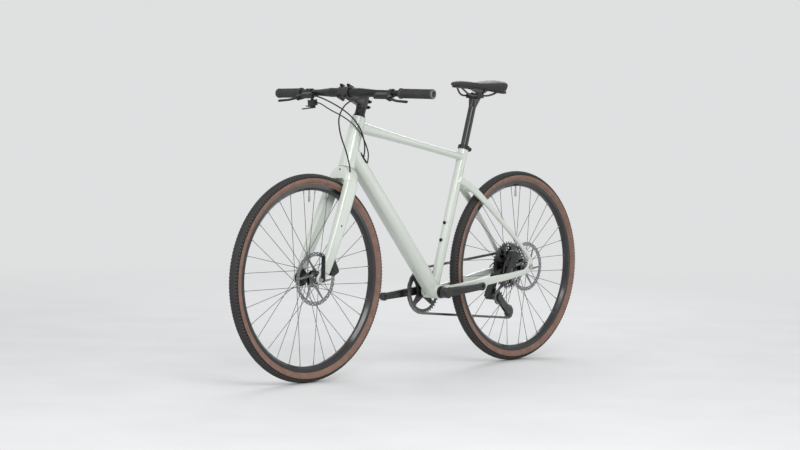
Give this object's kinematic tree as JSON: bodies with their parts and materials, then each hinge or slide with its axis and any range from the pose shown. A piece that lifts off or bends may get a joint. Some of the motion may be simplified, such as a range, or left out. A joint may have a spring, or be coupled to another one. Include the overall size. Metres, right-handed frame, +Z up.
{
  "type": "bicycle",
  "caption": "Flat-bar hybrid bicycle with disc brakes, a single chainring, a wide cassette, a sprung rear derailleur, crossed-spoke wheels and a padded saddle.",
  "frame": {"origin": "on the ground, midway between the wheel axles", "axes": "+X forward, +Y to the rider's left, +Z up"},
  "size_m": [1.7688, 0.7338, 1.0253],
  "materials": {
    "frame_paint": "satin",
    "black_alloy": "satin",
    "steel": "satin",
    "black_plastic": "matte",
    "grip_rubber": "matte",
    "tyre_rubber": "matte",
    "saddle_cover": "satin"
  },
  "bodies": {
    "frame": {"head_tube": "frame_paint", "top_tube": "frame_paint", "down_tube": "frame_paint", "seat_tube": "frame_paint", "bottom_bracket_shell": "frame_paint", "chainstays": "frame_paint", "seatstays": "frame_paint", "dropouts": "frame_paint", "bottom_bracket_cups": "black_alloy", "seat_clamp": "black_alloy", "frame_fittings": "steel", "rear_axle": "steel", "rear_caliper": "black_alloy", "hose_tails": "black_plastic", "chain": "steel", "derailleur_body": "black_alloy"},
    "fork": {"fork_crown": "frame_paint", "fork_legs": "frame_paint", "headset": "black_alloy", "stem": "black_alloy", "stem_faceplate": "black_alloy", "cockpit_bolts": "steel", "handlebar": "black_alloy", "grips": "grip_rubber", "control_bodies": "black_alloy", "front_axle": "steel", "front_caliper": "black_alloy", "front_brake_hose": "black_plastic", "hose_leads": "black_plastic"},
    "left_lever": {"brake_lever_left": "black_alloy"},
    "right_lever": {"brake_lever_right": "black_alloy"},
    "thumb_lever": {"shift_thumb_lever": "black_plastic"},
    "release_lever": {"shift_release_lever": "black_plastic"},
    "axle_lever": {"front_axle_lever": "black_alloy"},
    "seat": {"seatpost": "black_alloy", "saddle_clamp": "black_alloy", "saddle_rails": "steel", "saddle_base": "black_plastic", "saddle_pad": "saddle_cover"},
    "front_wheel": {"front_tyre": "tyre_rubber", "front_rim": "black_alloy", "front_spokes": "steel", "front_wheel_fittings": "steel", "front_hub": "black_alloy", "front_rotor": "steel"},
    "rear_wheel": {"rear_tyre": "tyre_rubber", "rear_rim": "black_alloy", "rear_spokes": "steel", "rear_wheel_fittings": "steel", "rear_hub": "black_alloy", "rear_rotor": "steel"},
    "cranks": {"crank_arms": "black_alloy", "chainring": "steel"},
    "cassette_body": {"cassette": "steel"},
    "outer_link": {"derailleur_outer_link": "black_alloy"},
    "inner_link": {"derailleur_inner_link": "black_alloy"},
    "knuckle": {"derailleur_knuckle": "black_alloy"},
    "cage": {"derailleur_cage": "steel"},
    "upper_pulley": {"guide_pulley": "black_plastic"},
    "lower_pulley": {"tension_pulley": "black_plastic"}
  },
  "joints": [
    {"name": "steering", "type": "hinge", "parent": "frame", "child": "fork", "pos_m": [0.48808, 0, 0.33314], "axis": [-0.3173, 0, 0.9483], "range_deg": [-70, 70], "deforming": ["hose_leads"]},
    {"name": "front_wheel_spin", "type": "hinge", "parent": "fork", "child": "front_wheel", "pos_m": [0.5355, 0, 0.349], "axis": [0, 1, 0], "continuous": true},
    {"name": "rear_wheel_spin", "type": "hinge", "parent": "frame", "child": "rear_wheel", "pos_m": [-0.5355, 0, 0.349], "axis": [0, 1, 0], "continuous": true},
    {"name": "crank_spin", "type": "hinge", "parent": "frame", "child": "cranks", "pos_m": [-0.0896, 0, 0.275], "axis": [0, 1, 0], "continuous": true, "deforming": ["chain"]},
    {"name": "cassette_spin", "type": "hinge", "parent": "frame", "child": "cassette_body", "pos_m": [-0.5355, 0, 0.349], "axis": [0, 1, 0], "continuous": true},
    {"name": "derailleur_shift", "type": "hinge", "parent": "frame", "child": "outer_link", "pos_m": [-0.5382, -0.1024, 0.30006], "axis": [0.9063, 0, 0.4226], "range_deg": [-28, 23]},
    {"name": "inner_link_swing", "type": "hinge", "parent": "frame", "child": "inner_link", "pos_m": [-0.5382, -0.0864, 0.30006], "axis": [0.9063, 0, 0.4226], "range_deg": [-28, 23]},
    {"name": "knuckle_level", "type": "hinge", "parent": "outer_link", "child": "knuckle", "pos_m": [-0.51961, -0.1024, 0.26018], "axis": [0.9063, 0, 0.4226], "range_deg": [-23, 28]},
    {"name": "cage_pivot", "type": "hinge", "parent": "knuckle", "child": "cage", "pos_m": [-0.50524, -0.046, 0.22937], "axis": [0, 1, 0], "range_deg": [-40, 20], "stiffness_Nm_per_rad": 0.6},
    {"name": "upper_pulley_spin", "type": "hinge", "parent": "cage", "child": "upper_pulley", "pos_m": [-0.50524, -0.046, 0.22937], "axis": [0, 1, 0], "continuous": true},
    {"name": "lower_pulley_spin", "type": "hinge", "parent": "cage", "child": "lower_pulley", "pos_m": [-0.56094, -0.046, 0.17335], "axis": [0, 1, 0], "continuous": true},
    {"name": "left_brake_lever", "type": "hinge", "parent": "fork", "child": "left_lever", "pos_m": [0.38109, 0.2168, 0.95123], "axis": [0.4647, 0.0679, 0.8829], "range_deg": [0, 20], "stiffness_Nm_per_rad": 0.8},
    {"name": "right_brake_lever", "type": "hinge", "parent": "fork", "child": "right_lever", "pos_m": [0.38109, -0.2168, 0.95123], "axis": [-0.4647, 0.0679, -0.8829], "range_deg": [0, 20], "stiffness_Nm_per_rad": 0.8},
    {"name": "thumb_lever_push", "type": "hinge", "parent": "fork", "child": "thumb_lever", "pos_m": [0.34777, -0.17712, 0.92499], "axis": [0.1367, -0.029, 0.9902], "range_deg": [0, 30], "stiffness_Nm_per_rad": 0.4},
    {"name": "release_lever_pull", "type": "hinge", "parent": "fork", "child": "release_lever", "pos_m": [0.34777, -0.17712, 0.92499], "axis": [-0.1367, 0.029, -0.9902], "range_deg": [0, 15], "stiffness_Nm_per_rad": 0.4},
    {"name": "front_axle_release", "type": "hinge", "parent": "fork", "child": "axle_lever", "pos_m": [0.5355, 0.071, 0.349], "axis": [-1, 0, 0], "range_deg": [0, 170]},
    {"name": "seatpost_height", "type": "slide", "parent": "frame", "child": "seat", "axis": [-0.284, 0, 0.9588], "range_m": [-0.09, 0.07]}
  ],
  "couplings": [
    {"joint": "cassette_spin", "follows": "crank_spin", "ratio": 1.6667},
    {"joint": "upper_pulley_spin", "follows": "crank_spin", "ratio": -3.6364},
    {"joint": "lower_pulley_spin", "follows": "crank_spin", "ratio": 3.6364},
    {"joint": "inner_link_swing", "follows": "derailleur_shift", "ratio": 1},
    {"joint": "knuckle_level", "follows": "derailleur_shift", "ratio": -1}
  ]
}
